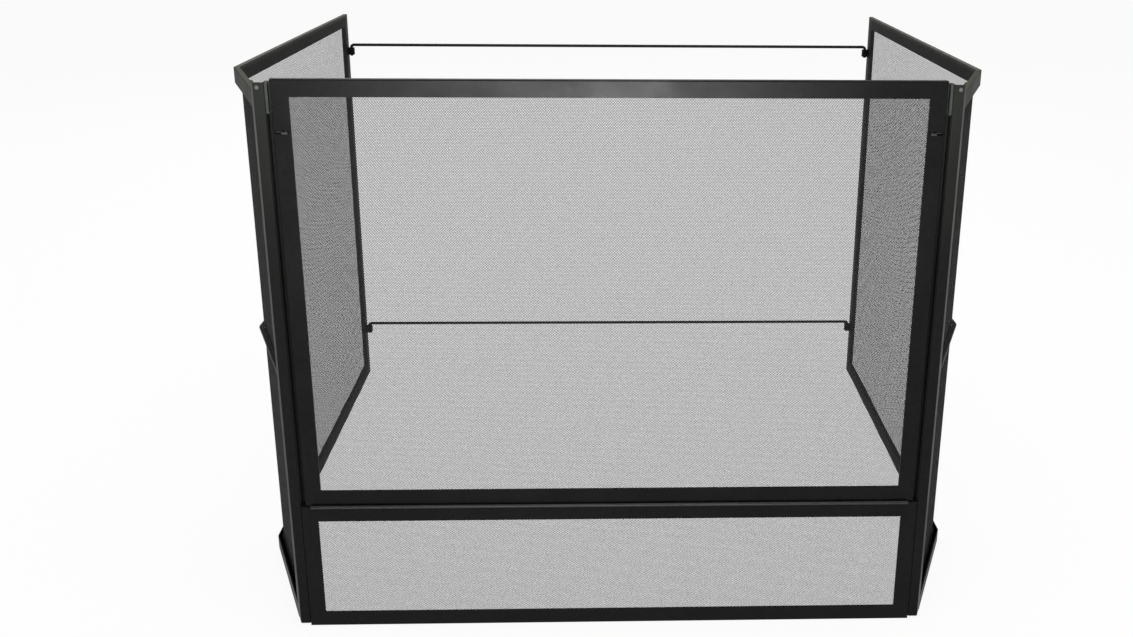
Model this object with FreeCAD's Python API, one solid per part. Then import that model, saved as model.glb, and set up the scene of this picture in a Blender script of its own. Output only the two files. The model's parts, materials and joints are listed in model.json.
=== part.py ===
"""Three-sided steel hearth guard: a fixed lower mesh panel, a drop-down mesh door, two mesh wings and two tie rods.

Built with the front face on y = 0 and the floor on z = 0, then moved back so that the origin is under the middle.
The right-hand side (x > 0) is modelled and mirrored. Millimetres throughout.
"""
import math
import os

import FreeCAD
import Part

V = FreeCAD.Vector

# Overall
FRONT_WIDTH = 790.0      # over the outer edges of the two front posts
HEIGHT = 700.0           # floor to the top of the door
POST_BELOW_DOOR = 4.0    # from the door's top down to the top of the front posts
WING_BELOW_POST = 10.0   # and from there down to the top of the side rails
DEPTH = 790.0            # front face to the back of the rear posts
CORNER_OUT = 77.0        # how far a side rail swells outwards at the corner
CORNER_BACK = 178.0      # how far behind the front face that corner lies

# Folded angle of the door and the lower panel
FACE = 20.0              # width of the front leg
RETURN = 8.0             # depth of the leg round the outside
WALL = 2.0
HEEL_RADIUS = 1.4        # rounding of the folded outer edge

# Folded channel of the side rails and rear posts
CHANNEL_HEIGHT = 20.0
CHANNEL_WIDTH = 7.0
CHANNEL_WALL = 1.5
CHANNEL_RADIUS = 1.0

# Front posts: a folded strip with a lip behind the door's edge, an inner leg, a front face and a flank
POST_FACE = 12.0
POST_FLANK = 20.0        # along the corner rails
POST_INNER_LEG = 14.0
POST_LIP = 5.0
POST_FOOT = 4.0          # free height under the posts

# Lower panel and door
LOWER_HEIGHT = 170.0     # height of the fixed lower panel
DOOR_SIDE_GAP = 6.0      # between the door and each post

# Piano hinge along the seam
LEAF_THICKNESS = 1.0
LEAF_WIDTH = 8.0
LEAF_GAP = 0.3
KNUCKLE_RADIUS = 2.2
KNUCKLE_PITCH = 29.6
KNUCKLE_GAP = 0.4
KNUCKLE_OFF_FACE = 0.35  # free space between the knuckles and the front face
HINGE_PIN_RADIUS = 1.1
HINGE_PIN_PLAY = 0.05
HINGE_LENGTH = 740.0

# Door stop lugs, welded to the posts
LUG_HEIGHT = 35.0
LUG_THICKNESS = 3.0
LUG_SET_BACK = 2.0
STOP_REACH = 12.0
STOP_GAP = 0.3

# Slide bolts of the door
BOLT_BELOW_TOP = 60.0
BOLT_RADIUS = 2.0
BOLT_PLAY = 0.08
BOLT_LENGTH = 15.5
BOLT_TRAVEL = 9.5
BOLT_TIP_SET_BACK = 0.1  # tip inside the door's edge when withdrawn
GUIDE_LENGTH = 8.5
GUIDE_DEPTH = 6.0
GUIDE_HEIGHT = 12.0
PEG_RADIUS = 1.4
PEG_FROM_TIP = 13.5
PEG_PLAY = 0.4
TAB_WIDTH = 7.0
TAB_HEIGHT = 3.0
TAB_THICKNESS = 3.6
TAB_OFF_FACE = 0.4

# Mesh sheets: a diamond lattice inside a solid border, with about as much steel as the fine mesh
MESH_THICKNESS = 1.0
MESH_BORDER = 6.0
MESH_BAR = 4.0           # width of the bars between the diamonds
DIAMOND_WIDTH = 84.0     # at most; a whole number fits across a sheet
DIAMOND_HEIGHT = 90.0
MESH_LAP = 4.0           # how far a front mesh laps behind its frame
OVERCUT = 1.0            # how far a cutter sticks out of what it cuts

# Side meshes, laid against the inside of the rails
SIDE_MESH_LAP = 16.0     # how far a side mesh laps over the rails
REAR_MESH_LAP = 6.0      # how far the wing mesh laps over the rear post
CORNER_MESH_START = 4.0  # along the corner line, inside the front post

# Short rod round each corner
CORNER_ROD_HEIGHT = 337.0
CORNER_ROD_RADIUS = 3.0
CORNER_ROD_BEND = 9.0
CORNER_ROD_TAIL = 34.0   # how far it runs on along the wing

# Tie rods across the back
TIE_ROD_RADIUS = 2.5
TIE_ROD_BEND = 5.0
TOP_ROD_BELOW_WING = 53.5
LOW_ROD_HEIGHT = 102.0
EYE_SIZE = 10.0
EYE_HEIGHT = 12.0
EYE_BELOW_ROD = 5.0
EYE_PLAY = 0.3
HOOK_PAST_EYE = 2.0

# Worked out from the sizes above
HALF_FRONT = FRONT_WIDTH / 2
WING_X = HALF_FRONT + CORNER_OUT
POST_TOP = HEIGHT - POST_BELOW_DOOR
WING_HEIGHT = POST_TOP - WING_BELOW_POST
BOLT_HEIGHT = HEIGHT - BOLT_BELOW_TOP
TIE_ROD_HEIGHTS = {"top": WING_HEIGHT - TOP_ROD_BELOW_WING, "low": LOW_ROD_HEIGHT}
POST_INNER_X = HALF_FRONT - POST_FACE
DOOR_HALF = POST_INNER_X - DOOR_SIDE_GAP
DOOR_BOTTOM = LOWER_HEIGHT + 2 * LEAF_THICKNESS + LEAF_GAP
HINGE_Y = -(KNUCKLE_RADIUS + KNUCKLE_OFF_FACE)
HINGE_Z = LOWER_HEIGHT + LEAF_THICKNESS + LEAF_GAP / 2
FRONT_PROUD = max(KNUCKLE_RADIUS - HINGE_Y, TAB_OFF_FACE + TAB_THICKNESS)
BACK_SHIFT = -(DEPTH - FRONT_PROUD) / 2
CORNER_LENGTH = math.hypot(CORNER_OUT, CORNER_BACK)
ALONG = V(CORNER_OUT / CORNER_LENGTH, CORNER_BACK / CORNER_LENGTH, 0)
INWARD = V(-ALONG.y, ALONG.x, 0)


def box(x0, x1, y0, y1, z0, z1):
    """Box between two corners."""
    return Part.makeBox(x1 - x0, y1 - y0, z1 - z0, V(x0, y0, z0))


def cylinder(radius, start, direction, length):
    """Cylinder from a start point along a direction."""
    return Part.makeCylinder(radius, length, start, direction)


def slab(points, push):
    """Flat outline pushed out along a vector."""
    return Part.Face(Part.makePolygon(points + points[:1])).extrude(push)


def prism(points, z0, z1):
    """Plan outline raised from z0 to z1."""
    return slab([V(p.x, p.y, z0) for p in points], V(0, 0, z1 - z0))


def round_edges(shape, radius, wanted):
    """Rounds the straight edges whose two ends both pass the test."""
    edges = [e for e in shape.Edges if len(e.Vertexes) == 2 and all(wanted(v.Point) for v in e.Vertexes)]
    return shape.makeFillet(radius, edges)


def mitred_plate(length, height, thickness):
    """Plate in the front plane with both ends mitred at 45 degrees, its long edge on z = 0."""
    half = length / 2
    return slab([V(-half, 0, 0), V(half, 0, 0), V(half - height, 0, height), V(height - half, 0, height)],
                V(0, thickness, 0))


def mitred_angle(length):
    """Folded angle along x, mitred at both ends: a front leg and a return leg on z = 0."""
    bar = mitred_plate(length, FACE, WALL).fuse(mitred_plate(length, WALL, RETURN)).removeSplitter()
    return round_edges(bar, HEEL_RADIUS, lambda p: abs(p.y) < 1e-6 and abs(p.z) < 1e-6)


def angle_frame(half_width, bottom, top):
    """The four mitred bars of a rectangular frame, return legs outwards and to the back."""
    middle = (bottom + top) / 2
    wide, tall = mitred_angle(2 * half_width), mitred_angle(top - bottom)
    places = {
        "rail_bottom": (wide, V(0, 0, bottom), 0),
        "rail_top": (wide, V(0, 0, top), 180),
        "stile_right": (tall, V(half_width, 0, middle), -90),
        "stile_left": (tall, V(-half_width, 0, middle), 90),
    }
    bars = {}
    for name, (bar, place, turn) in places.items():
        bars[name] = bar.copy()
        bars[name].Placement = FreeCAD.Placement(place, FreeCAD.Rotation(V(0, 1, 0), turn))
    return bars


def diamond(centre, width, height, area):
    """Corners of a diamond, kept inside an area (length, height) that starts at (0, 0)."""
    u, z = centre
    corners = [(u - width / 2, z), (u, z - height / 2), (u + width / 2, z), (u, z + height / 2)]
    kept = [(round(min(max(a, 0), area[0]), 6), round(min(max(b, 0), area[1]), 6)) for a, b in corners]
    return [point for index, point in enumerate(kept) if point != kept[index - 1]]


def diamonds(start, along, inward, area):
    """Cutters for every diamond of an area of lattice that starts at a lower corner."""
    columns, rows = math.ceil(area[0] / DIAMOND_WIDTH), math.ceil(area[1] / DIAMOND_HEIGHT)
    width, height = area[0] / columns, area[1] / rows
    opened = 1 - MESH_BAR * math.hypot(width, height) / (width * height)
    centres = [(i * width / 2, j * height / 2) for i in range(2 * columns + 1) for j in range(2 * rows + 1)
               if (i + j) % 2]
    cutters = []
    for centre in centres:
        loop = diamond(centre, opened * width, opened * height, area)
        points = [start + along * u + V(0, 0, z) - inward * OVERCUT for u, z in loop]
        cutters.append(slab(points, inward * (MESH_THICKNESS + 2 * OVERCUT)))
    return cutters


def lattice(sheet, corner, along, inward, length, height):
    """Flat sheet with diamonds cut through it, from its lower corner on the side that faces away."""
    start = corner + (along + V(0, 0, 1)) * MESH_BORDER
    area = (length - 2 * MESH_BORDER, height - 2 * MESH_BORDER)
    return sheet.cut(Part.makeCompound(diamonds(start, along, inward, area))).removeSplitter()


def front_mesh(half_width, bottom, top):
    """Mesh sheet that laps behind the four bars of a front frame."""
    edge = FACE - MESH_LAP
    half, low, high = half_width - edge, bottom + edge, top - edge
    sheet = box(-half, half, WALL, WALL + MESH_THICKNESS, low, high)
    return lattice(sheet, V(-half, WALL, low), V(1, 0, 0), V(0, 1, 0), 2 * half, high - low)


def on_corner_line(run, inset):
    """Plan point a distance along the corner rail's outer face, moved inwards by inset."""
    return V(HALF_FRONT, 0, 0) + ALONG * run + INWARD * inset


def corner(inset):
    """Plan point where the corner and wing faces meet, both moved inwards by inset."""
    return on_corner_line((CORNER_OUT - inset - inset * INWARD.x) / ALONG.x, inset)


def on_wing_line(y, inset):
    """Plan point on the wing rail's outer face, moved inwards by inset."""
    return V(WING_X - inset, y, 0)


def corner_strip(start, near, far, z0, z1):
    """Part of the corner side between two insets, from a start run to the mitre."""
    return prism([on_corner_line(start, near), corner(near), corner(far), on_corner_line(start, far)], z0, z1)


def wing_strip(end, near, far, z0, z1):
    """Part of the wing side between two insets, from the mitre to an end y."""
    return prism([corner(near), on_wing_line(end, near), on_wing_line(end, far), corner(far)], z0, z1)


def side_channel(strip, end, at_top):
    """Folded channel along one side: two upright walls and a level web at the top or on the floor."""
    low = WING_HEIGHT - CHANNEL_HEIGHT if at_top else 0.0
    high = low + CHANNEL_HEIGHT
    web = high - CHANNEL_WALL if at_top else low
    rail = strip(end, 0, CHANNEL_WALL, low, high)
    rail = rail.fuse(strip(end, CHANNEL_WIDTH - CHANNEL_WALL, CHANNEL_WIDTH, low, high))
    rail = rail.fuse(strip(end, 0, CHANNEL_WIDTH, web, web + CHANNEL_WALL)).removeSplitter()
    heel = high if at_top else low
    across = CHANNEL_WIDTH + 1e-6
    long_edges = [e for e in rail.Edges if e.Length > 2 * across and all(abs(v.Z - heel) < 1e-6 for v in e.Vertexes)]
    return rail.makeFillet(CHANNEL_RADIUS, long_edges)


def corner_rail(at_top):
    """Side rail from the front post's flank to the mitre at the corner."""
    return side_channel(corner_strip, POST_FLANK, at_top)


def rear_mitre(at_top, behind):
    """Wedge on one side of the 45 degree joint between a wing rail and the rear post."""
    z, down = (WING_HEIGHT, -1) if at_top else (0.0, 1)
    over = 2 * CHANNEL_HEIGHT
    third = V(0, DEPTH + 1, z + down * over) if behind else V(0, DEPTH - over, z - down)
    loop = [V(0, DEPTH + 1, z - down), third, V(0, DEPTH - over, z + down * over)]
    return slab([p + V(WING_X + 1, 0, 0) for p in loop], V(-CHANNEL_WIDTH - 2, 0, 0))


def wing_rail(at_top):
    """Side rail from the mitre at the corner to the mitre at the rear post."""
    return side_channel(wing_strip, DEPTH, at_top).cut(rear_mitre(at_top, True))


def rear_post():
    """Channel that closes the back of a wing, its web to the back, mitred into both rails."""
    inner, front, wall = WING_X - CHANNEL_WIDTH, DEPTH - CHANNEL_HEIGHT, CHANNEL_WALL
    loop = [V(WING_X, front, 0), V(WING_X, DEPTH, 0), V(inner, DEPTH, 0), V(inner, front, 0),
            V(inner + wall, front, 0), V(inner + wall, DEPTH - wall, 0), V(WING_X - wall, DEPTH - wall, 0),
            V(WING_X - wall, front, 0)]
    post = prism(loop, 0, WING_HEIGHT)
    back = [e for e in post.Edges if e.Length > WING_HEIGHT - 1 and is_rear_edge(e)]
    return post.makeFillet(CHANNEL_RADIUS, back).cut(rear_mitre(True, False)).cut(rear_mitre(False, False))


def is_rear_edge(edge):
    """True for an edge that lies on the back of a rear post."""
    return all(abs(v.Y - DEPTH) < 1e-6 for v in edge.Vertexes)


def front_post():
    """Folded strip: lip, inner leg with the bolt's hole, front face, and a flank along the corner line."""
    fold = on_corner_line(WALL * (1 - INWARD.y) / ALONG.y, WALL)
    inside, lip = POST_INNER_X + WALL, POST_INNER_X - POST_LIP
    loop = [V(lip, POST_INNER_LEG, 0), V(lip, POST_INNER_LEG - WALL, 0), V(POST_INNER_X, POST_INNER_LEG - WALL, 0),
            V(POST_INNER_X, 0, 0), V(HALF_FRONT, 0, 0), on_corner_line(POST_FLANK, 0),
            on_corner_line(POST_FLANK, WALL), fold, V(inside, WALL, 0), V(inside, POST_INNER_LEG, 0)]
    post = prism(loop, POST_FOOT, POST_TOP)
    tall = POST_TOP - POST_FOOT
    folds = [e for e in post.Edges if abs(e.Length - tall) < 1e-6 and all(abs(v.Y) < 1e-6 for v in e.Vertexes)]
    post = post.makeFillet(HEEL_RADIUS, folds)
    return post.cut(cylinder(BOLT_RADIUS + BOLT_PLAY, bolt_axis_point(POST_INNER_X - 1), V(1, 0, 0), WALL + 2))


def wing_mesh():
    """Mesh sheet inside the wing's rails, from the corner to the rear post."""
    lap = CHANNEL_HEIGHT - SIDE_MESH_LAP
    end = DEPTH - CHANNEL_HEIGHT + REAR_MESH_LAP
    sheet = wing_strip(end, CHANNEL_WIDTH, CHANNEL_WIDTH + MESH_THICKNESS, lap, WING_HEIGHT - lap)
    start = corner(CHANNEL_WIDTH) + V(0, 0, lap)
    return lattice(sheet, start, V(0, 1, 0), V(-1, 0, 0), end - start.y, WING_HEIGHT - 2 * lap)


def corner_mesh():
    """Mesh sheet inside the corner rails, from inside the front post to the corner."""
    lap = CHANNEL_HEIGHT - SIDE_MESH_LAP
    sheet = corner_strip(CORNER_MESH_START, CHANNEL_WIDTH, CHANNEL_WIDTH + MESH_THICKNESS, lap, WING_HEIGHT - lap)
    start = on_corner_line(CORNER_MESH_START, CHANNEL_WIDTH)
    length = (corner(CHANNEL_WIDTH) - start).Length
    return lattice(sheet, start + V(0, 0, lap), ALONG, INWARD, length, WING_HEIGHT - 2 * lap)


def bent_rod(points, radius, bend):
    """Round rod along straight runs joined by tangent arcs."""
    edges, start = [], points[0]
    for before, here, after in zip(points, points[1:], points[2:]):
        into, out = (here - before).normalize(), (after - here).normalize()
        half_turn = into.getAngle(out) / 2
        reach = bend * math.tan(half_turn)
        first, last = here - into * reach, here + out * reach
        towards = (out - into).normalize()
        centre = here + towards * (bend / math.cos(half_turn))
        edges += [Part.LineSegment(start, first).toShape(), Part.Arc(first, centre - towards * bend, last).toShape()]
        start = last
    edges.append(Part.LineSegment(start, points[-1]).toShape())
    section = Part.Wire(Part.Circle(points[0], points[1] - points[0], radius).toShape())
    return Part.Wire(edges).makePipeShell([section], True, False)


def corner_rod():
    """Rod at mid height from the post's flank round the corner, lying against the side meshes."""
    inset = CHANNEL_WIDTH - CORNER_ROD_RADIUS
    lift = V(0, 0, CORNER_ROD_HEIGHT)
    points = [on_corner_line(POST_FLANK, inset), corner(inset), on_wing_line(CORNER_BACK + CORNER_ROD_TAIL, inset)]
    return bent_rod([p + lift for p in points], CORNER_ROD_RADIUS, CORNER_ROD_BEND)


def eye_centre():
    """Plan centre of the eyes on the right-hand rear post."""
    return V(WING_X - CHANNEL_WIDTH - EYE_SIZE / 2, DEPTH - EYE_SIZE / 2, 0)


def rod_eye(rod_height):
    """Block with an upright hole for a tie rod's hook, on the inner side of a rear post."""
    centre, half = eye_centre(), EYE_SIZE / 2
    top = rod_height - EYE_BELOW_ROD
    block = box(centre.x - half, centre.x + half, centre.y - half, centre.y + half, top - EYE_HEIGHT, top)
    inner = [e for e in block.Edges if all(abs(v.X - centre.x + half) < 1e-6 for v in e.Vertexes)
             and abs(e.Vertexes[0].Z - e.Vertexes[1].Z) > 1e-6]
    block = block.makeFillet(EYE_SIZE / 4, inner)
    start = V(centre.x, centre.y, top - EYE_HEIGHT - 1)
    return block.cut(cylinder(TIE_ROD_RADIUS + EYE_PLAY, start, V(0, 0, 1), EYE_HEIGHT + 2))


def tie_rod(rod_height):
    """Rod across the back with both ends turned down into the eyes."""
    centre = eye_centre()
    tip = rod_height - EYE_BELOW_ROD - EYE_HEIGHT - HOOK_PAST_EYE
    points = [V(-centre.x, centre.y, tip), V(-centre.x, centre.y, rod_height),
              V(centre.x, centre.y, rod_height), V(centre.x, centre.y, tip)]
    return bent_rod(points, TIE_ROD_RADIUS, TIE_ROD_BEND)


def hinge_leaf(lower):
    """Leaf strip in the seam with every second knuckle of the barrel."""
    z0 = LOWER_HEIGHT if lower else LOWER_HEIGHT + LEAF_THICKNESS + LEAF_GAP
    z1 = z0 + LEAF_THICKNESS
    half = HINGE_LENGTH / 2
    leaf = box(-half, half, 0, LEAF_WIDTH, z0, z1)
    for index in range(round(HINGE_LENGTH / KNUCKLE_PITCH)):
        if (index % 2 == 0) == lower:
            x0 = index * KNUCKLE_PITCH - half + KNUCKLE_GAP / 2
            x1 = x0 + KNUCKLE_PITCH - KNUCKLE_GAP
            leaf = leaf.fuse(cylinder(KNUCKLE_RADIUS, V(x0, HINGE_Y, HINGE_Z), V(1, 0, 0), x1 - x0))
            leaf = leaf.fuse(box(x0, x1, HINGE_Y, 0, z0, z1))
    bore = cylinder(HINGE_PIN_RADIUS + HINGE_PIN_PLAY, V(-half - 1, HINGE_Y, HINGE_Z), V(1, 0, 0), HINGE_LENGTH + 2)
    return leaf.cut(bore).removeSplitter()


def hinge_pin():
    """Wire pin through all the knuckles."""
    return cylinder(HINGE_PIN_RADIUS, V(-HINGE_LENGTH / 2, HINGE_Y, HINGE_Z), V(1, 0, 0), HINGE_LENGTH)


def stop_lug():
    """Bent plate on the post's inner leg that the closed door rests against."""
    x1, x0 = POST_INNER_X, POST_INNER_X - LUG_THICKNESS
    stop = RETURN + STOP_GAP
    z0 = POST_TOP - LUG_HEIGHT
    side = box(x0, x1, LUG_SET_BACK, stop + LUG_THICKNESS, z0, POST_TOP)
    return side.fuse(box(x0 - STOP_REACH, x0, stop, stop + LUG_THICKNESS, z0, POST_TOP)).removeSplitter()


def bolt_axis_point(x):
    """Point on the right-hand bolt's axis."""
    return V(x, WALL + GUIDE_DEPTH / 2, BOLT_HEIGHT)


def bolt_tip_x():
    """Where the withdrawn bolt ends."""
    return DOOR_HALF - BOLT_TIP_SET_BACK


def peg_slot(x0, x1):
    """Room for the bolt's peg in front of the bolt, between two x positions."""
    half = PEG_RADIUS + PEG_PLAY
    return box(x0, x1, -1, bolt_axis_point(0).y, BOLT_HEIGHT - half, BOLT_HEIGHT + half)


def bolt_bore():
    """Bore for the bolt through the guide and the stile's return leg."""
    return cylinder(BOLT_RADIUS + BOLT_PLAY, bolt_axis_point(bolt_tip_x() - BOLT_LENGTH), V(1, 0, 0), 2 * BOLT_LENGTH)


def stile_cut():
    """Everything the slide bolt needs removed from the right-hand stile."""
    x0 = bolt_tip_x() - PEG_FROM_TIP - PEG_RADIUS - PEG_PLAY
    x1 = x0 + BOLT_TRAVEL + 2 * (PEG_RADIUS + PEG_PLAY)
    return peg_slot(x0, x1).fuse(bolt_bore())


def bolt_guide():
    """Slotted block behind the stile that the bolt slides in."""
    x1 = DOOR_HALF - WALL
    block = box(x1 - GUIDE_LENGTH, x1, WALL, WALL + GUIDE_DEPTH,
                BOLT_HEIGHT - GUIDE_HEIGHT / 2, BOLT_HEIGHT + GUIDE_HEIGHT / 2)
    return block.cut(bolt_bore()).cut(peg_slot(x1 - GUIDE_LENGTH - 1, x1 + 1))


def slide_bolt():
    """Round bolt with a peg through the stile and a finger tab in front of it."""
    tip, axis_y = bolt_tip_x(), bolt_axis_point(0).y
    shank = cylinder(BOLT_RADIUS, bolt_axis_point(tip - BOLT_LENGTH), V(1, 0, 0), BOLT_LENGTH)
    peg_x = tip - PEG_FROM_TIP
    peg = cylinder(PEG_RADIUS, V(peg_x, -TAB_OFF_FACE, BOLT_HEIGHT), V(0, 1, 0), axis_y + TAB_OFF_FACE)
    tab = box(peg_x - TAB_WIDTH / 2, peg_x + TAB_WIDTH / 2, -TAB_OFF_FACE - TAB_THICKNESS, -TAB_OFF_FACE,
              BOLT_HEIGHT - TAB_HEIGHT / 2, BOLT_HEIGHT + TAB_HEIGHT / 2)
    return shank.fuse(peg).fuse(tab.makeFillet(TAB_HEIGHT / 5, tab.Edges)).removeSplitter()


def side_pieces():
    """Every piece of the right-hand side, by name."""
    return {
        "post_front": front_post(),
        "corner_rail_top": corner_rail(True),
        "corner_rail_bottom": corner_rail(False),
        "wing_rail_top": wing_rail(True),
        "wing_rail_bottom": wing_rail(False),
        "post_rear": rear_post(),
        "corner_rod": corner_rod(),
        "corner_mesh": corner_mesh(),
        "wing_mesh": wing_mesh(),
        "rod_eye_top": rod_eye(TIE_ROD_HEIGHTS["top"]),
        "rod_eye_low": rod_eye(TIE_ROD_HEIGHTS["low"]),
        "stop_lug": stop_lug(),
        "bolt_guide": bolt_guide(),
        "slide_bolt": slide_bolt(),
    }


def door_pieces():
    """Frame, mesh and hinge leaf of the drop-down door."""
    bars = angle_frame(DOOR_HALF, DOOR_BOTTOM, HEIGHT)
    bars["stile_right"] = bars["stile_right"].cut(stile_cut())
    bars["stile_left"] = bars["stile_left"].cut(mirrored(stile_cut()))
    pieces = {"door_" + name: bar for name, bar in bars.items()}
    pieces["door_mesh"] = front_mesh(DOOR_HALF, DOOR_BOTTOM, HEIGHT)
    pieces["hinge_leaf_upper"] = hinge_leaf(False)
    return pieces


def lower_pieces():
    """Frame and mesh of the fixed lower panel, with the fixed half of the hinge."""
    bars = angle_frame(POST_INNER_X, 0, LOWER_HEIGHT)
    pieces = {"lower_" + name: bar for name, bar in bars.items()}
    pieces["lower_mesh"] = front_mesh(POST_INNER_X, 0, LOWER_HEIGHT)
    pieces["hinge_leaf_lower"] = hinge_leaf(True)
    pieces["hinge_pin"] = hinge_pin()
    return pieces


def mirrored(shape):
    """The same piece on the other side."""
    return shape.mirror(V(0, 0, 0), V(1, 0, 0))


def all_pieces():
    """Every piece of the guard, by node name."""
    pieces = {**lower_pieces(), **door_pieces()}
    for name, shape in side_pieces().items():
        pieces[name + "_right"] = shape
        pieces[name + "_left"] = mirrored(shape)
    for end, height in TIE_ROD_HEIGHTS.items():
        pieces["tie_rod_" + end] = tie_rod(height)
    return pieces


def main():
    """Moves every piece to the guard's own frame and writes one STEP file each."""
    os.makedirs("parts", exist_ok=True)
    for name, shape in sorted(all_pieces().items()):
        placed = shape.copy()
        placed.translate(V(0, BACK_SHIFT, 0))
        if not placed.isValid() or len(placed.Solids) != 1:
            print("check", name, placed.isValid(), len(placed.Solids))
        placed.exportStep("parts/" + name + ".step")
    print("front face y", BACK_SHIFT, "hinge", HINGE_Y + BACK_SHIFT, HINGE_Z)


main()
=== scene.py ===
"""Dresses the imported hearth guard: finishes, real strands for its mesh panels, light and camera.

Everything is in metres in the row frame: +X to the right as seen from the room, +Y towards the
fire, +Z up. Values whose names end in _mm are in millimetres.
"""

from __future__ import annotations

import json
import logging
import math
from dataclasses import dataclass, field
from enum import Enum

import bmesh
import bpy
import numpy as np
from mathutils import Matrix, Vector

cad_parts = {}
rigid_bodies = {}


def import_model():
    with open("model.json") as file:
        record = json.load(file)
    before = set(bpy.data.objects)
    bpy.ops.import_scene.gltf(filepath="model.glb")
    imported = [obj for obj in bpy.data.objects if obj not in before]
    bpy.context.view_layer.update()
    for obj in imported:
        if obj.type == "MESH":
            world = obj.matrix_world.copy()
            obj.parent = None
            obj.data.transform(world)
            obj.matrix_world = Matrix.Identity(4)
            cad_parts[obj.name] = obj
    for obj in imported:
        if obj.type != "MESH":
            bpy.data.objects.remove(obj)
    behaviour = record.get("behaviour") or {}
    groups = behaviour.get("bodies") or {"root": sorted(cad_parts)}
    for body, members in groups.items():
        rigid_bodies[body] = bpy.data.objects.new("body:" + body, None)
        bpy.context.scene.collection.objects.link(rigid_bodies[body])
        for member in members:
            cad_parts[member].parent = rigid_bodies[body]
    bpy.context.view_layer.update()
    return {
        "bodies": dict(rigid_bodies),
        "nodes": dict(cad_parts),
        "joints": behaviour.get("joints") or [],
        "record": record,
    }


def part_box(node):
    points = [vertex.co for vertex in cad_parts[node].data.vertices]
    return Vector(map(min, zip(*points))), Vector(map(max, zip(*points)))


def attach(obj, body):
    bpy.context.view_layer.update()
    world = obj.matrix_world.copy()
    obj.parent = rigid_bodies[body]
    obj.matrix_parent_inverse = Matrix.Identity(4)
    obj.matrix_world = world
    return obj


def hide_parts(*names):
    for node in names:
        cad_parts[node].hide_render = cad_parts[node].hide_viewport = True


LOG = logging.getLogger("hearth_guard")
MM = 0.001
UP = Vector((0.0, 0.0, 1.0))

# Strength at which an emitting surface or the surround renders as plain white
WHITE = 1.0

# Sockets of the Mix node by number, because their names repeat for every kind of data
FACTOR, NUMBER_A, NUMBER_B, COLOUR_A, COLOUR_B = 0, 2, 3, 6, 7
NUMBER_OUT, COLOUR_OUT = 0, 2


class Side(Enum):
    """The two sides of the guard, by the sign of x."""

    LEFT = -1
    RIGHT = 1

    @property
    def tag(self) -> str:
        """Word used in the names of this side's pieces."""
        return self.name.lower()


def linear(code: str) -> tuple[float, float, float, float]:
    """Turns an sRGB hex colour into linear RGBA.

    The sRGB curve is a straight foot up to 0.04045 and a power of 2.4 above it.

    Args:
        code: A hash and six hex digits.

    Returns:
        Red, green, blue and an alpha of 1, in linear light.
    """
    parts = [int(code[i:i + 2], 16) / 255 for i in (1, 3, 5)]
    red, green, blue = (p / 12.92 if p <= 0.04045 else ((p + 0.055) / 1.055) ** 2.4
                        for p in parts)
    return red, green, blue, 1.0


def add_node(tree: bpy.types.NodeTree, kind: str, settings: dict | None = None,
             links: dict | None = None) -> bpy.types.Node:
    """Adds a node, sets its properties and input values, and links other nodes' outputs to it.

    Args:
        tree: Node tree that gets the node.
        kind: Node type name.
        settings: Property name, or input name or number, to value.
        links: Input name or number to an output socket.

    Returns:
        The new node.
    """
    node = tree.nodes.new(kind)
    for key, value in (settings or {}).items():
        if isinstance(key, str) and hasattr(node, key):
            setattr(node, key, value)
        else:
            node.inputs[key].default_value = value
    for key, output in (links or {}).items():
        tree.links.new(output, node.inputs[key])
    return node


def blank_material(name: str) -> tuple[bpy.types.Material, bpy.types.NodeTree]:
    """Makes a material with an empty node tree.

    Args:
        name: Name of the material.

    Returns:
        The material and its node tree.
    """
    material = bpy.data.materials.new(name)
    material.use_nodes = True
    material.node_tree.nodes.clear()
    return material, material.node_tree


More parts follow.
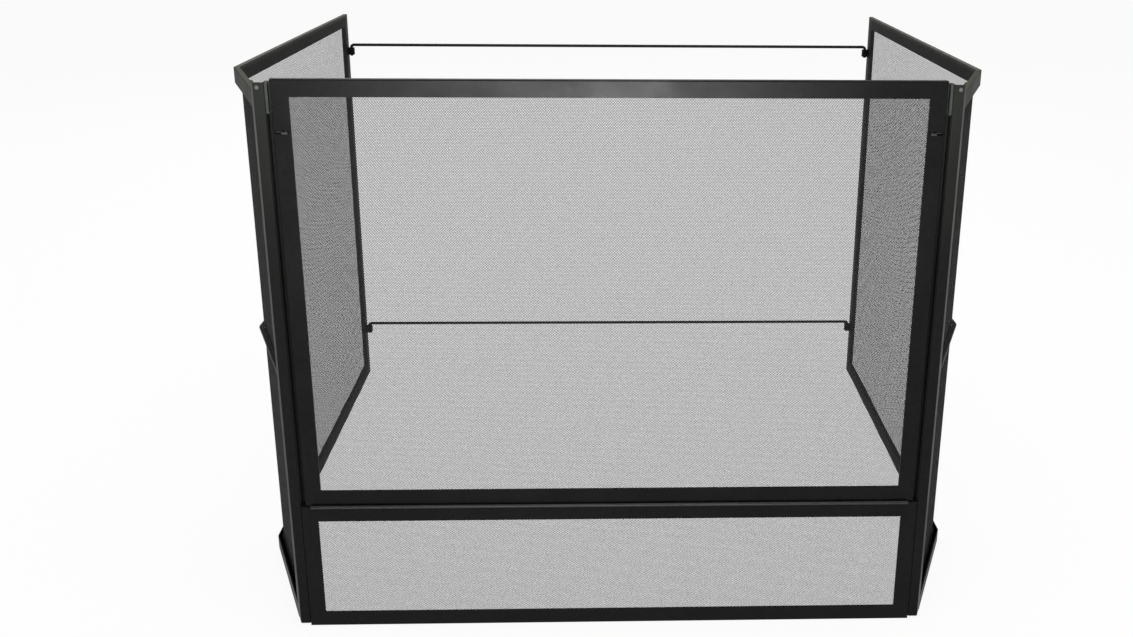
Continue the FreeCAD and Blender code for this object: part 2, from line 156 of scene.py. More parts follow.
@dataclass(frozen=True)
class PowderCoat:
    """Black polyester powder coat, sprayed and baked on steel.

    The powder melts into a skin with a fine orange-peel ripple, so a lamp shows as a soft broken
    streak. Faces that look up are drawn lighter: partly settled hearth dust, partly a painted sheen
    of the light from above. Handling leaves slightly lighter, rougher clouds on the others. Between
    two heights the coat is drawn lighter upwards, painted light falling on the upper part.

    A pair whose name ends in _at says where an effect starts and where it is full: values of the
    noise, or, for the dust and painted sheen, upward shares of the face's normal.
    """

    name: str
    colour: str
    cloud: str
    dust: str
    roughness: float
    sheen_level: float = 0.1
    cloud_mm: float = 90.0
    cloud_share: float = 0.5
    cloudy_at: tuple[float, float] = (0.18, 0.42)
    rough_at: tuple[float, float] = (0.3, 0.7)
    rough_change: tuple[float, float] = (-0.05, 0.09)
    speck_mm: float = 7.0
    dust_and_sheen_share: float = 0.6
    facing_up_at: tuple[float, float] = (0.35, 0.95)
    patchy_at: tuple[float, float] = (0.25, 0.6)
    patchy_least: float = 0.55
    dust_roughness: float = 0.3
    peel_mm: float = 1.6
    peel_depth_mm: float = 0.05
    peel_strength: float = 0.5
    greyed: str = ""
    painted_light_mm: tuple[float, float] = (0.0, 0.0)
    uneven_mm: float = 120.0

    def material(self) -> bpy.types.Material:
        """Builds the material: clouds, dust and painted sheen on upward faces, orange peel as bump.

        Returns:
            The finished material.
        """
        material, tree = blank_material(self.name)
        coordinates = add_node(tree, "ShaderNodeTexCoord")
        place = coordinates.outputs["Object"]
        clouds = add_node(tree, "ShaderNodeTexNoise",
                          {"Scale": 1 / (self.cloud_mm * MM), "Detail": 5.0, "Roughness": 0.6},
                          {"Vector": place}).outputs["Fac"]
        specks = add_node(tree, "ShaderNodeTexNoise",
                          {"Scale": 1 / (self.speck_mm * MM), "Detail": 3.0},
                          {"Vector": place}).outputs["Fac"]
        # Painted light: the coat is drawn lighter towards the top between two heights.
        coat = self.heat_greyed(tree, place, clouds, self.handled(tree, clouds, specks))
        # Painted sheen: faces that look up get a lighter colour, partly dust, partly painted light
        # from above.
        dust_and_sheen_mask = self.settled_dust(tree, coordinates.outputs["Normal"], specks)
        colour = add_node(tree, "ShaderNodeMix", {"data_type": "RGBA", COLOUR_B: linear(self.dust)},
                          {FACTOR: dust_and_sheen_mask, COLOUR_A: coat})
        rough = add_node(tree, "ShaderNodeMapRange",
                         {"From Min": self.rough_at[0], "From Max": self.rough_at[1],
                          "To Min": self.roughness + self.rough_change[0],
                          "To Max": self.roughness + self.rough_change[1]}, {"Value": clouds})
        rougher = add_node(tree, "ShaderNodeMath",
                           {"operation": "MULTIPLY_ADD", 1: self.dust_roughness},
                           {0: dust_and_sheen_mask, 2: rough.outputs["Result"]})
        peel = add_node(tree, "ShaderNodeTexNoise",
                        {"Scale": 1 / (self.peel_mm * MM), "Detail": 2.0}, {"Vector": place})
        bump = add_node(tree, "ShaderNodeBump",
                        {"Strength": self.peel_strength, "Distance": self.peel_depth_mm * MM},
                        {"Height": peel.outputs["Fac"]})
        shader = add_node(tree, "ShaderNodeBsdfPrincipled",
                          {"Specular IOR Level": self.sheen_level},
                          {"Base Color": colour.outputs[COLOUR_OUT],
                           "Roughness": rougher.outputs["Value"],
                           "Normal": bump.outputs["Normal"]})
        add_node(tree, "ShaderNodeOutputMaterial", links={"Surface": shader.outputs["BSDF"]})
        return material

    def handled(self, tree: bpy.types.NodeTree, clouds: bpy.types.NodeSocket,
                specks: bpy.types.NodeSocket) -> bpy.types.NodeSocket:
        """Mixes the handled colour in, in clouds that the specks break up.

        Args:
            tree: Node tree of the material.
            clouds: Cloud noise.
            specks: Speck noise.

        Returns:
            Colour of the handled coat.
        """
        amount = add_node(tree, "ShaderNodeMath", {"operation": "MULTIPLY"}, {0: clouds, 1: specks})
        share = add_node(tree, "ShaderNodeMapRange",
                         {"From Min": self.cloudy_at[0], "From Max": self.cloudy_at[1],
                          "To Max": self.cloud_share}, {"Value": amount.outputs["Value"]})
        return add_node(tree, "ShaderNodeMix",
                        {"data_type": "RGBA", COLOUR_A: linear(self.colour),
                         COLOUR_B: linear(self.cloud)},
                        {FACTOR: share.outputs["Result"]}).outputs[COLOUR_OUT]

    def heat_greyed(self, tree: bpy.types.NodeTree, place: bpy.types.NodeSocket,
                    clouds: bpy.types.NodeSocket,
                    coat: bpy.types.NodeSocket) -> bpy.types.NodeSocket:
        """Paints light on the upper part: mixes a lighter colour in from one height to the other,
        with an uneven edge.

        Args:
            tree: Node tree of the material.
            place: Object coordinates.
            clouds: Cloud noise, which makes the edge uneven. Its mean is a half.
            coat: Colour of the coat below.

        Returns:
            The mixed colour, or the coat's own where no light is painted.
        """
        if not self.greyed:
            return coat
        height = add_node(tree, "ShaderNodeSeparateXYZ", links={"Vector": place})
        uneven = add_node(tree, "ShaderNodeMath",
                          {"operation": "MULTIPLY_ADD", 1: self.uneven_mm * MM},
                          {0: clouds, 2: height.outputs["Z"]})
        start, end = ((mm + self.uneven_mm / 2) * MM for mm in self.painted_light_mm)
        share = add_node(tree, "ShaderNodeMapRange", {"From Min": start, "From Max": end},
                         {"Value": uneven.outputs["Value"]})
        return add_node(tree, "ShaderNodeMix",
                        {"data_type": "RGBA", COLOUR_B: linear(self.greyed)},
                        {FACTOR: share.outputs["Result"], COLOUR_A: coat}).outputs[COLOUR_OUT]

    def settled_dust(self, tree: bpy.types.NodeTree, normal: bpy.types.NodeSocket,
                     specks: bpy.types.NodeSocket) -> bpy.types.NodeSocket:
        """Share of dust and painted sheen: more where the face looks up, patchy through the specks.

        Args:
            tree: Node tree of the material.
            normal: The face's normal.
            specks: Speck noise.

        Returns:
            The share, from 0 to 1.
        """
        upward = add_node(tree, "ShaderNodeSeparateXYZ", links={"Vector": normal})
        facing_up = add_node(tree, "ShaderNodeMapRange",
                           {"From Min": self.facing_up_at[0], "From Max": self.facing_up_at[1],
                            "To Max": self.dust_and_sheen_share}, {"Value": upward.outputs["Z"]})
        patchy = add_node(tree, "ShaderNodeMapRange",
                          {"From Min": self.patchy_at[0], "From Max": self.patchy_at[1],
                           "To Min": self.patchy_least}, {"Value": specks})
        return add_node(tree, "ShaderNodeMath", {"operation": "MULTIPLY"},
                        {0: facing_up.outputs["Result"],
                         1: patchy.outputs["Result"]}).outputs["Value"]


@dataclass(frozen=True)
class DippedMesh:
    """Thin slit and stretched steel sheet, dipped in matt black stove paint.

    The paint stays dull and gathers at the crossings, so strands look almost without shine.
    """

    name: str
    colour: str
    faded: str
    roughness: float
    sheen_level: float = 0.25
    blotch_mm: float = 60.0
    faded_at: tuple[float, float] = (0.4, 0.75)

    def material(self) -> bpy.types.Material:
        """Builds the material: a dull black with soft faded blotches.

        Returns:
            The finished material.
        """
        material, tree = blank_material(self.name)
        place = add_node(tree, "ShaderNodeTexCoord").outputs["Object"]
        blotch = add_node(tree, "ShaderNodeTexNoise",
                          {"Scale": 1 / (self.blotch_mm * MM), "Detail": 4.0}, {"Vector": place})
        share = add_node(tree, "ShaderNodeMapRange",
                         {"From Min": self.faded_at[0], "From Max": self.faded_at[1]},
                         {"Value": blotch.outputs["Fac"]})
        colour = add_node(tree, "ShaderNodeMix",
                          {"data_type": "RGBA", COLOUR_A: linear(self.colour),
                           COLOUR_B: linear(self.faded)}, {FACTOR: share.outputs["Result"]})
        shader = add_node(tree, "ShaderNodeBsdfPrincipled",
                          {"Specular IOR Level": self.sheen_level, "Roughness": self.roughness},
                          {"Base Color": colour.outputs[COLOUR_OUT]})
        add_node(tree, "ShaderNodeOutputMaterial", links={"Surface": shader.outputs["BSDF"]})
        return material


@dataclass(frozen=True)
class RubbedSteel:
    """Steel whose black finish has been rubbed off where it moves or is touched.

    Bare metal shows through in short streaks along the rubbing direction, brighter and smoother
    than the black. The streak noise has to pass an edge, which falls as the bare share grows.
    """

    name: str
    colour: str
    bare: str
    bare_share: float
    roughness: float
    streak_mm: tuple[float, float, float] = (14.0, 2.0, 2.0)
    edge_unrubbed: float = 0.72
    edge_fall: float = 0.4
    edge_half_width: float = 0.08
    bare_smoother: float = 0.12

    def material(self) -> bpy.types.Material:
        """Builds the material: streaked noise picks between black finish and bare metal.

        Returns:
            The finished material.
        """
        material, tree = blank_material(self.name)
        place = add_node(tree, "ShaderNodeTexCoord").outputs["Object"]
        streak_scale = tuple(1 / (size * MM) for size in self.streak_mm)
        stretched = add_node(tree, "ShaderNodeMapping", {"Scale": streak_scale}, {"Vector": place})
        streak = add_node(tree, "ShaderNodeTexNoise", {"Scale": 1.0, "Detail": 4.0},
                          {"Vector": stretched.outputs["Vector"]})
        edge = self.edge_unrubbed - self.edge_fall * self.bare_share
        worn = add_node(tree, "ShaderNodeMapRange",
                        {"From Min": edge - self.edge_half_width,
                         "From Max": edge + self.edge_half_width},
                        {"Value": streak.outputs["Fac"]}).outputs["Result"]
        colour = add_node(tree, "ShaderNodeMix",
                          {"data_type": "RGBA", COLOUR_A: linear(self.colour),
                           COLOUR_B: linear(self.bare)}, {FACTOR: worn})
        rough = add_node(tree, "ShaderNodeMapRange",
                         {"To Min": self.roughness, "To Max": self.roughness - self.bare_smoother},
                         {"Value": worn})
        shader = add_node(tree, "ShaderNodeBsdfPrincipled", {},
                          {"Base Color": colour.outputs[COLOUR_OUT], "Metallic": worn,
                           "Roughness": rough.outputs["Result"]})
        add_node(tree, "ShaderNodeOutputMaterial", links={"Surface": shader.outputs["BSDF"]})
        return material


class Region(Enum):
    """Parts of the guard, by how their names start, whose coat is drawn lighter or darker: painted
    light and shade.
    """

    DOOR = "door_"
    LOWER = "lower_"
    POST = "post_front"
    CORNER_TOP = "corner_rail_top"
    WING_TOP = "wing_rail_top"
    LUG = "stop_lug"
    OTHER = ""

    @classmethod
    def of(cls, node: str) -> Region:
        """Region that a node belongs to, by the start of its name.

        Args:
            node: Name of a CAD node.

        Returns:
            The region.
        """
        return next(region for region in cls if node.startswith(region.value))


@dataclass
class Finishes:
    """The guard's finishes, by the record's material slot and, for the powder coat, by region.

    The lower panel has the door's finish. The regions' coats are lighter and darker copies of one
    black coat: painted light and shade for how light falls on each.
    """

    door: PowderCoat = PowderCoat(
        "powder_coat_door", colour="#0d0e0d", cloud="#171817", dust="#1c1d19", roughness=0.27,
        sheen_level=0.09, dust_and_sheen_share=0.4)
    # The post's coat is drawn lighter towards its top: painted light.
    post: PowderCoat = PowderCoat(
        "powder_coat_post", colour="#101110", cloud="#1c1d1b", dust="#3c3d37", roughness=0.46,
        sheen_level=0.07, greyed="#282a26", painted_light_mm=(480.0, 690.0))
    # Corner rails drawn lighter and olive: a painted reflection of the bright surround.
    corner: PowderCoat = PowderCoat(
        "powder_coat_corner_rail", colour="#1f211b", cloud="#33352d", dust="#5a5b4e",
        roughness=0.55)
    # Wing rails drawn lighter, their top faces most: painted reflection and painted top light.
    wing: PowderCoat = PowderCoat(
        "powder_coat_wing_rail", colour="#1d1e1b", cloud="#34352f", dust="#6a6b61",
        roughness=0.55, dust_and_sheen_share=0.85)
    # The stop lug's coat is drawn lighter: a painted highlight.
    lug: PowderCoat = PowderCoat(
        "powder_coat_lug_highlight", colour="#3f423e", cloud="#595c57", dust="#3c3d37",
        roughness=0.42)
    # The back parts drawn darker than the rest: painted shade.
    other: PowderCoat = PowderCoat(
        "powder_coat_back", colour="#0a0b0a", cloud="#121311", dust="#1c1d19", roughness=0.5,
        cloud_mm=60.0)
    rod: PowderCoat = PowderCoat(
        "powder_coated_rod", colour="#131413", cloud="#1f201e", dust="#2c2d29", roughness=0.42,
        cloud_mm=30.0, sheen_level=0.15)
    mesh: DippedMesh = DippedMesh(
        "dipped_expanded_mesh", colour="#0b0b0b", faded="#161615", roughness=0.70)
    hinge: RubbedSteel = RubbedSteel(
        "rubbed_hinge_steel", colour="#121311", bare="#34352f", bare_share=0.12, roughness=0.42)
    bolt: RubbedSteel = RubbedSteel(
        "rubbed_bolt_steel", colour="#121311", bare="#2e2f2a", bare_share=0.18, roughness=0.45)
    pin: RubbedSteel = RubbedSteel(
        "blackened_hinge_wire", colour="#1a1b19", bare="#4a4b45", bare_share=0.20, roughness=0.40)
    # The rivet head is drawn light grey all over, lighter than the coat round it.
    rivet: RubbedSteel = RubbedSteel(
        "light_grey_rivet_head", colour="#5c5e58", bare="#7d7f78", bare_share=0.20, roughness=0.55,
        streak_mm=(3.0, 3.0, 3.0))
    made: dict[str, bpy.types.Material] = field(default_factory=dict)
    coats: dict[Region, bpy.types.Material] = field(default_factory=dict)

    def build(self) -> None:
        """Makes every material once."""
        self.made = {slot: finish.material() for slot, finish in (
            ("rod_steel", self.rod), ("mesh_steel", self.mesh), ("hinge_steel", self.hinge),
            ("bolt_steel", self.bolt), ("pin_steel", self.pin), ("rivet_head", self.rivet))}
        self.coats = {region: finish.material() for region, finish in (
            (Region.DOOR, self.door), (Region.POST, self.post), (Region.CORNER_TOP, self.corner),
            (Region.WING_TOP, self.wing), (Region.LUG, self.lug), (Region.OTHER, self.other))}
        self.coats[Region.LOWER] = self.coats[Region.DOOR]

    def of_node(self, entry: dict) -> bpy.types.Material:
        """Finish of a CAD node.

        Args:
            entry: The node's entry in the record.

        Returns:
            Its material.
        """
        if entry["material_slot"] == "frame_steel":
            return self.coats[Region.of(entry["node"])]
        return self.made[entry["material_slot"]]

    def dress_nodes(self, frame: dict) -> None:
        """Gives every CAD node its finish.
        """
        for entry in frame["record"]["subparts"]:
            for slot in frame["nodes"][entry["node"]].material_slots:
                slot.material = self.of_node(entry)


def new_piece(name: str, points: np.ndarray, faces: np.ndarray, material: bpy.types.Material,
              body: str) -> bpy.types.Object:
    """Makes a mesh piece from arrays, in the row frame, riding on a body.

    Args:
        name: Name of the piece.
        points: Vertices, one row each.
        faces: Vertex numbers, one row per face, all with the same number of corners.
        material: Its finish.
        body: CAD body that it rides on.

    Returns:
        The new object.
    """
    mesh = bpy.data.meshes.new(name)
    mesh.from_pydata(points.tolist(), [], faces.tolist())
    mesh.materials.append(material)
    mesh.update()
    piece = bpy.data.objects.new(name, mesh)
    bpy.context.scene.collection.objects.link(piece)
    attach(piece, body)
    return piece


def box_corners(node: str) -> tuple[Vector, Vector]:
    """Lowest and highest corner of a CAD node's box.

    Args:
        node: Name of the node.

    Returns:
        The two corners.
    """
    low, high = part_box(node)
    return Vector(low), Vector(high)


@dataclass(frozen=True)
class Diamonds:
    """Sizes of a diamond mesh: cell, share of its area that is steel, and gauge of the sheet."""

    wide_mm: float
    tall_mm: float
    covered: float
    gauge_mm: float

    @property
    def strand_mm(self) -> float:
        """Width of a strand: the covered share of the distance between two parallel strands."""
        return self.covered * self.wide_mm * self.tall_mm / math.hypot(self.wide_mm, self.tall_mm)


@dataclass
class ExpandedMesh:
    """One panel of diamond mesh: two crossing sets of flat strands cut to the panel's rectangle.

    Strands are made in pieces of at most piece_mm. One shorter than least_widths times its own
    width is left out. The sets lie set_apart times the gauge to either side of the middle.
    """

    node: str
    body: str
    corner: Vector
    along: Vector
    width: float
    height: float
    diamonds: Diamonds
    piece_mm: float = 60.0
    least_widths: float = 2.0
    set_apart: float = 0.25

    def strand_ends(self, slope_sign: int) -> np.ndarray:
        """Centre lines of one set of strands, clipped to the panel.

        Each line is u = c + sign * v * wide / tall, for offsets c one cell apart. A line enters
        and leaves the panel where u meets 0 or the width, or where v meets 0 or the height,
        whichever comes first.

        Args:
            slope_sign: +1 or -1, the way the strands lean.

        Returns:
            Array of shape (strands, 2, 2): the two ends of each strand as (u, v) in metres.
        """
        lean = slope_sign * self.diamonds.wide_mm / self.diamonds.tall_mm
        run = abs(lean) * self.height
        first = -run if slope_sign > 0 else 0.0
        pitch = self.diamonds.wide_mm * MM
        offsets = np.arange(first + pitch / 2, first + self.width + run, pitch)
        at_left, at_right = (0 - offsets) / lean, (self.width - offsets) / lean
        low = np.maximum(np.minimum(at_left, at_right), 0.0)
        high = np.minimum(np.maximum(at_left, at_right), self.height)
        keep = high - low > self.least_widths * self.diamonds.strand_mm * MM
        low, high, offsets = low[keep], high[keep], offsets[keep]
        return np.stack([np.stack([offsets + lean * v, v], 1) for v in (low, high)], 1)

    def strand_solids(self, ends: np.ndarray, lift: float) -> tuple[np.ndarray, np.ndarray]:
        """Flat bars round the centre lines.

        Every bar is a four-cornered section carried along its centre line, with a ring of corners
        at equal steps t from 0 to 1: point(t) = start + t * (end - start), plus and minus half a
        strand across it in the panel, plus and minus half the gauge off the panel. Both ends are
        closed.

        Args:
            ends: What strand_ends returned.
            lift: Distance of this set's middle off the panel's middle, in metres.

        Returns:
            Corners as (u, v, off) rows, and faces as quads.
        """
        run = ends[:, 1] - ends[:, 0]
        length = np.linalg.norm(run, axis=1, keepdims=True)
        steps = max(1, math.ceil(float(length.max()) / (self.piece_mm * MM)))
        across = np.stack([-run[:, 1], run[:, 0]], 1) / length * self.diamonds.strand_mm * MM / 2
        t = np.linspace(0.0, 1.0, steps + 1)
        middle = ends[:, None, 0, :] + t[None, :, None] * run[:, None, :]
        signs = np.array([[-1, -1], [1, -1], [1, 1], [-1, 1]])
        ring = len(signs)
        flat = middle[:, :, None, :] + across[:, None, None, :] * signs[None, None, :, :1]
        off = np.broadcast_to(lift + signs[:, 1] * self.diamonds.gauge_mm * MM / 2, flat.shape[:3])
        corners = np.concatenate([flat, off[..., None]], 3).reshape(-1, 3)
        side = np.array([[0, 1, 5, 4], [1, 2, 6, 5], [2, 3, 7, 6], [3, 0, 4, 7]])
        sides = (np.arange(steps)[:, None, None] * ring + side[None]).reshape(-1, 4)
        closed = np.concatenate([sides, [[3, 2, 1, 0]], [np.arange(ring) + ring * steps]])
        first_corner = np.arange(len(ends))[:, None, None] * ring * (steps + 1)
        return corners, (first_corner + closed[None]).reshape(-1, 4)

    def build(self, material: bpy.types.Material) -> None:
        """Makes the panel and lets it stand for its CAD sheet.

        Args:
            material: The mesh finish.
        """
        corners, faces, count = [], [], 0
        for slope_sign in (1, -1):
            lift = slope_sign * self.diamonds.gauge_mm * MM * self.set_apart
            points, quads = self.strand_solids(self.strand_ends(slope_sign), lift)
            corners.append(points)
            faces.append(quads + count)
            count += len(points)
        axes = np.array([self.along, UP, self.along.cross(UP)])
        places = np.array(self.corner) + np.concatenate(corners) @ axes
        piece = new_piece(f"{self.node}_strands", places, np.concatenate(faces), material,
                          self.body)
        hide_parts(self.node)
        LOG.info("%s: %d faces", piece.name, len(piece.data.polygons))


@dataclass
class MeshPanels:
    """All the mesh panels of the guard, laid out from the places of their CAD sheets.

    Cell and covered share are chosen so that each sheet lets about the right light through. The
    wings are seen at a flat angle, where fine strands would close up to a solid grey, so their
    cell is drawn coarser and their strands thinner.

    An inset is about half the thickness of a sheet, measured across the guard.
    """

    fine: Diamonds = Diamonds(wide_mm=1.8, tall_mm=3.2, covered=0.285, gauge_mm=0.14)
    open_cell: Diamonds = Diamonds(wide_mm=3.2, tall_mm=5.6, covered=0.24, gauge_mm=0.07)
    trim_mm: float = 0.6
    wing_inset_mm: float = 0.5
    corner_inset_mm: float = 0.55

    def flat_panel(self, node: str, body: str) -> ExpandedMesh:
        """Panel across the front, along x.

        Args:
            node: CAD sheet.
            body: Body that it rides on.

        Returns:
            The panel.
        """
        low, high = box_corners(node)
        trim = self.trim_mm * MM
        corner = Vector((low.x + trim, (low.y + high.y) / 2, low.z + trim))
        return ExpandedMesh(node, body, corner, Vector((1.0, 0.0, 0.0)),
                            high.x - low.x - 2 * trim, high.z - low.z - 2 * trim, self.fine)

    def slanting_panel(self, node: str, side: Side, diamonds: Diamonds,
                       inset_mm: float) -> ExpandedMesh:
        """Panel of a side, along the plan line between the near and far ends of its sheet.

        Args:
            node: CAD sheet, without the side's tag.
            side: Side of the guard.
            diamonds: Sizes of its mesh.
            inset_mm: Distance across the guard from the sheet's limits to its middle.

        Returns:
            The panel.
        """
        low, high = box_corners(f"{node}_{side.tag}")
        inner, outer = sorted((abs(low.x), abs(high.x)))
        trim, inset = self.trim_mm * MM, inset_mm * MM
        near = Vector((side.value * (inner + inset), low.y, low.z + trim))
        far = Vector((side.value * (outer - inset), high.y, low.z + trim))
        along = (far - near).normalized()
        return ExpandedMesh(f"{node}_{side.tag}", "frame", near + along * trim / 2, along,
                            (far - near).length - trim, high.z - low.z - 2 * trim, diamonds)

    def build(self, finishes: Finishes) -> None:
        """Makes every panel.

        Args:
            finishes: The guard's finishes.
        """
        panels = [self.flat_panel("door_mesh", "door"), self.flat_panel("lower_mesh", "frame")]
        for side in Side:
            panels.append(
                self.slanting_panel("wing_mesh", side, self.open_cell, self.wing_inset_mm))
            panels.append(
                self.slanting_panel("corner_mesh", side, self.fine, self.corner_inset_mm))
        for panel in panels:
            panel.build(finishes.made["mesh_steel"])


@dataclass
class PostRivets:
    """Domed rivet near the top of each front post, which holds the corner rail's end.

    The dome leaves small openings at its front pole and in its back, sized by pole_share, which
    are filled once the mesh is made.
    """

    radius_mm: float = 2.4
    height_mm: float = 1.1
    rim_mm: float = 0.3
    below_top_mm: float = 5.5
    from_outside_mm: float = 12.2
    pole_share: float = 0.02
    rings: int = 7
    spokes: int = 24

    def dome(self, centre: Vector) -> tuple[np.ndarray, np.ndarray]:
        """Low dome on a short straight rim.

        For t from 0 to 1, the radius is R * sin(t * 90 degrees) and the height off the face is
        H * cos(t * 90 degrees), so the pole is the first ring and the rim is the last. Two more
        rings carry the rim back and draw it in.

        Args:
            centre: Middle of the rivet on the post's face.

        Returns:
            Points and quads.
        """
        t = np.linspace(self.pole_share, 1.0, self.rings) * math.pi / 2
        radius = np.concatenate([np.sin(t), [1.0, self.pole_share]]) * self.radius_mm * MM
        proud = np.concatenate([np.cos(t) * self.height_mm, [-self.rim_mm, -self.rim_mm]]) * MM
        turn = np.arange(self.spokes) * 2 * math.pi / self.spokes
        x = centre.x + radius[:, None] * np.cos(turn)
        z = centre.z + radius[:, None] * np.sin(turn)
        y = np.broadcast_to(centre.y - proud[:, None], x.shape)
        points = np.stack([x, y, z], -1).reshape(-1, 3)
        ring, spoke = np.meshgrid(np.arange(len(radius) - 1), np.arange(self.spokes),
                                  indexing="ij")
        after = (spoke + 1) % self.spokes
        a, b = ring * self.spokes + spoke, ring * self.spokes + after
        return points, np.stack([a, a + self.spokes, b + self.spokes, b], -1).reshape(-1, 4)

    def close_and_orient(self, piece: bpy.types.Object) -> None:
        """Fills the pole openings and turns every face outwards, with smooth shading.

        Args:
            piece: The rivet.
        """
        shell = bmesh.new()
        shell.from_mesh(piece.data)
        bmesh.ops.holes_fill(shell, edges=shell.edges, sides=self.spokes)
        bmesh.ops.recalc_face_normals(shell, faces=shell.faces)
        for face in shell.faces:
            face.smooth = True
        shell.to_mesh(piece.data)
        shell.free()

    def build(self, finishes: Finishes) -> None:
        """Makes both rivets.

        Args:
            finishes: The guard's finishes.
        """
        for side in Side:
            low, high = box_corners(f"post_front_{side.tag}")
            out = max(abs(low.x), abs(high.x)) - self.from_outside_mm * MM
            centre = Vector((side.value * out, low.y, high.z - self.below_top_mm * MM))
            points, quads = self.dome(centre)
            piece = new_piece(f"post_rivet_{side.tag}", points, quads,
                              finishes.made["rivet_head"], "frame")
            self.close_and_orient(piece)
            LOG.info("%s: %d faces", piece.name, len(piece.data.polygons))


@dataclass
class Camera:
    """Camera in front of the guard and a little above it, looking slightly down.

    Pitch, yaw and roll are in radians: downwards, to the right, and with its right side raised.
    """

    place_mm: tuple[float, float, float] = (-6.4, -1634.2, 904.4)
    pitch: float = 0.2908
    yaw: float = 0.0338
    roll: float = 0.0091
    lens_mm: float = 35.8
    sensor_mm: float = 36.0
    shift: tuple[float, float] = (-0.0676, -0.0825)
    clip: tuple[float, float] = (0.05, 60.0)

    def build(self) -> None:
        """Makes the camera and lets the scene use it."""
        ahead = Vector((math.sin(self.yaw) * math.cos(self.pitch),
                        math.cos(self.yaw) * math.cos(self.pitch), -math.sin(self.pitch)))
        level = Vector((math.cos(self.yaw), -math.sin(self.yaw), 0.0))
        upright = level.cross(ahead)
        right = level * math.cos(self.roll) + upright * math.sin(self.roll)
        up = upright * math.cos(self.roll) - level * math.sin(self.roll)
        data = bpy.data.cameras.new("guard_camera")
        data.sensor_width = self.sensor_mm
        data.lens = self.lens_mm
        data.shift_x, data.shift_y = self.shift
        data.clip_start, data.clip_end = self.clip
        camera = bpy.data.objects.new("guard_camera", data)
        turn = Matrix((right, up, -ahead)).transposed().to_4x4()
        camera.matrix_world = Matrix.Translation(Vector(self.place_mm) * MM) @ turn
        bpy.context.scene.collection.objects.link(camera)
        bpy.context.scene.camera = camera


@dataclass(frozen=True)
class Softbox:
    """Soft rectangular lamp, which the camera doesn't see through the mesh.

    A beam narrower than 180 degrees keeps the lamp's light off the floor.
    """

    name: str
    place: tuple[float, float, float]
    aim: tuple[float, float, float]
    size: tuple[float, float]
    watts: float
    beam_deg: float = 180.0

    def hang(self) -> None:
        """Makes the lamp and turns it to the point it is aimed at."""
        data = bpy.data.lights.new(self.name, "AREA")
        data.shape = "RECTANGLE"
        data.size, data.size_y = self.size
        data.energy = self.watts
        data.spread = math.radians(self.beam_deg)
        lamp = bpy.data.objects.new(self.name, data)
        lamp.location = self.place
        way = Vector(self.aim) - Vector(self.place)
        lamp.rotation_euler = way.to_track_quat("-Z", "Y").to_euler()
        lamp.visible_camera = False
        bpy.context.scene.collection.objects.link(lamp)


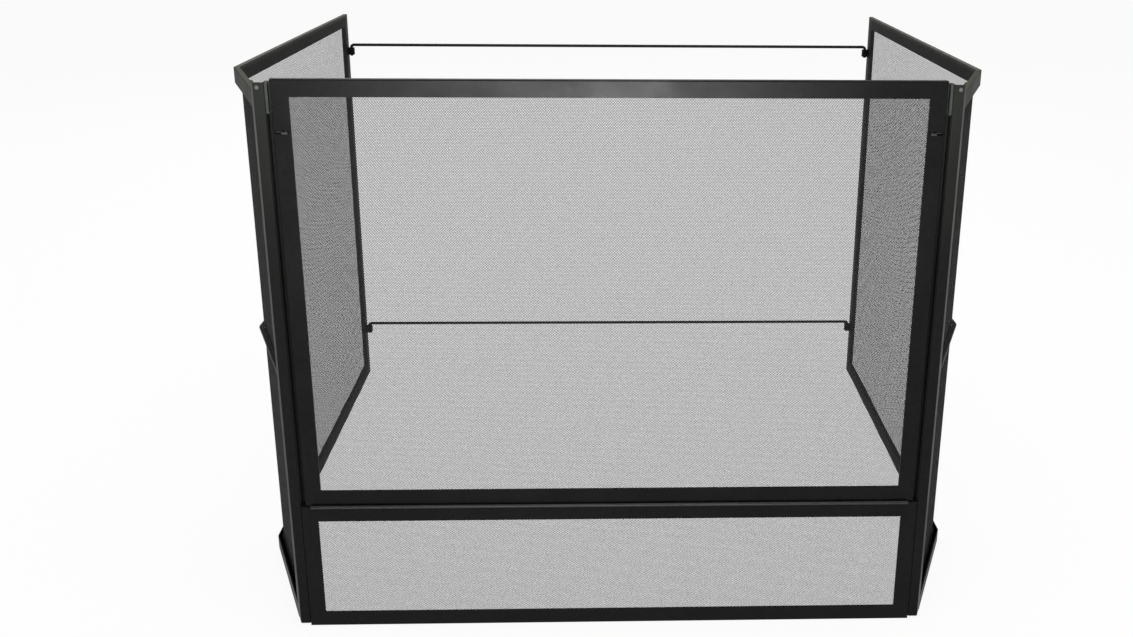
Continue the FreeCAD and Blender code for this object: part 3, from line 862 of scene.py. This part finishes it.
@dataclass
class Studio:
    """White sweep: pale floor that keeps a faint shadow, a white surround, and soft lamps.

    white_share is how much of the floor is plain white to the camera, and surround_light is the
    surround's strength as a light. Reflections see white only behind the guard and low down, and
    a room of strength room elsewhere: behind_at and low_at give the shares of +Y and +Z in a
    direction at which that backdrop starts and is full.
    """

    floor_size: float = 30.0
    floor_colour: str = "#f2f2f1"
    white_share: float = 0.91
    surround_light: float = 0.55
    room: float = 0.10
    behind_at: tuple[float, float] = (0.80, 0.97)
    low_at: tuple[float, float] = (0.30, 0.05)
    overhead: Softbox = Softbox("overhead_softbox", place=(0.3, -0.8, 3.2), aim=(0.0, 0.0, 0.3),
                                size=(2.6, 2.0), watts=55.0)
    low_front: Softbox = Softbox("low_front_softbox", place=(-0.09, -3.0, 0.25),
                                 aim=(-0.09, -0.39, 0.69), size=(1.15, 0.35), watts=4.3,
                                 beam_deg=50.0)
    rear: Softbox = Softbox("rear_softbox", place=(-0.6, 3.0, 2.4), aim=(0.0, 0.0, 0.3),
                            size=(2.4, 1.6), watts=30.0)

    def floor(self) -> None:
        """Lays the floor: part matt paint, part white to the camera, so a shadow only dims it."""
        half = self.floor_size / 2
        points = [(-half, -half, 0.0), (half, -half, 0.0), (half, half, 0.0), (-half, half, 0.0)]
        mesh = bpy.data.meshes.new("floor")
        mesh.from_pydata(points, [], [(0, 1, 2, 3)])
        material, tree = blank_material("white_sweep")
        matt = add_node(tree, "ShaderNodeBsdfDiffuse", {"Color": linear(self.floor_colour)})
        white = add_node(tree, "ShaderNodeEmission", {"Strength": WHITE})
        ray = add_node(tree, "ShaderNodeLightPath")
        seen = add_node(tree, "ShaderNodeMath", {"operation": "MAXIMUM"},
                        {0: ray.outputs["Is Camera Ray"], 1: ray.outputs["Is Glossy Ray"]})
        share = add_node(tree, "ShaderNodeMath", {"operation": "MULTIPLY", 1: self.white_share},
                         {0: seen.outputs["Value"]})
        mix = add_node(tree, "ShaderNodeMixShader",
                       links={0: share.outputs["Value"], 1: matt.outputs["BSDF"],
                              2: white.outputs["Emission"]})
        add_node(tree, "ShaderNodeOutputMaterial", links={"Surface": mix.outputs["Shader"]})
        mesh.materials.append(material)
        floor = bpy.data.objects.new("floor", mesh)
        bpy.context.scene.collection.objects.link(floor)

    def surround(self) -> None:
        """Makes the surround: white to the camera, dimmer as a light, and dim in most reflections.

        The dim room in reflections keeps the black coat black.
        """
        world = bpy.data.worlds.new("studio")
        bpy.context.scene.world = world
        world.use_nodes = True
        tree = world.node_tree
        tree.nodes.clear()
        ray = add_node(tree, "ShaderNodeLightPath")
        direction = add_node(tree, "ShaderNodeTexCoord").outputs["Generated"]
        way = add_node(tree, "ShaderNodeSeparateXYZ", links={"Vector": direction})
        behind = add_node(tree, "ShaderNodeMapRange",
                          {"From Min": self.behind_at[0], "From Max": self.behind_at[1]},
                          {"Value": way.outputs["Y"]})
        low = add_node(tree, "ShaderNodeMapRange",
                       {"From Min": self.low_at[0], "From Max": self.low_at[1]},
                       {"Value": way.outputs["Z"]})
        both = add_node(tree, "ShaderNodeMath", {"operation": "MULTIPLY"},
                        {0: behind.outputs["Result"], 1: low.outputs["Result"]})
        backdrop = add_node(tree, "ShaderNodeMapRange", {"To Min": self.room, "To Max": WHITE},
                            {"Value": both.outputs["Value"]})
        unseen = add_node(tree, "ShaderNodeMix",
                          {"data_type": "FLOAT", NUMBER_A: self.surround_light},
                          {FACTOR: ray.outputs["Is Glossy Ray"],
                           NUMBER_B: backdrop.outputs["Result"]})
        seen = add_node(tree, "ShaderNodeMath", {"operation": "MAXIMUM"},
                        {0: ray.outputs["Is Camera Ray"], 1: ray.outputs["Is Transmission Ray"]})
        strength = add_node(tree, "ShaderNodeMix", {"data_type": "FLOAT", NUMBER_B: WHITE},
                            {FACTOR: seen.outputs["Value"],
                             NUMBER_A: unseen.outputs[NUMBER_OUT]})
        light = add_node(tree, "ShaderNodeBackground", {"Color": linear("#ffffff")},
                         {"Strength": strength.outputs[NUMBER_OUT]})
        add_node(tree, "ShaderNodeOutputWorld", links={"Surface": light.outputs["Background"]})

    def build(self) -> None:
        """Makes floor, surround and lamps."""
        bpy.context.scene.view_settings.view_transform = "Standard"
        self.floor()
        self.surround()
        for softbox in (self.overhead, self.low_front, self.rear):
            softbox.hang()


def main() -> None:
    """Builds the dressed guard, the studio and the camera."""
    logging.basicConfig(level=logging.INFO, format="%(name)s: %(message)s")
    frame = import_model()
    finishes = Finishes()
    finishes.build()
    finishes.dress_nodes(frame)
    MeshPanels().build(finishes)
    PostRivets().build(finishes)
    Studio().build()
    Camera().build()


if __name__ == "__main__":
    main()
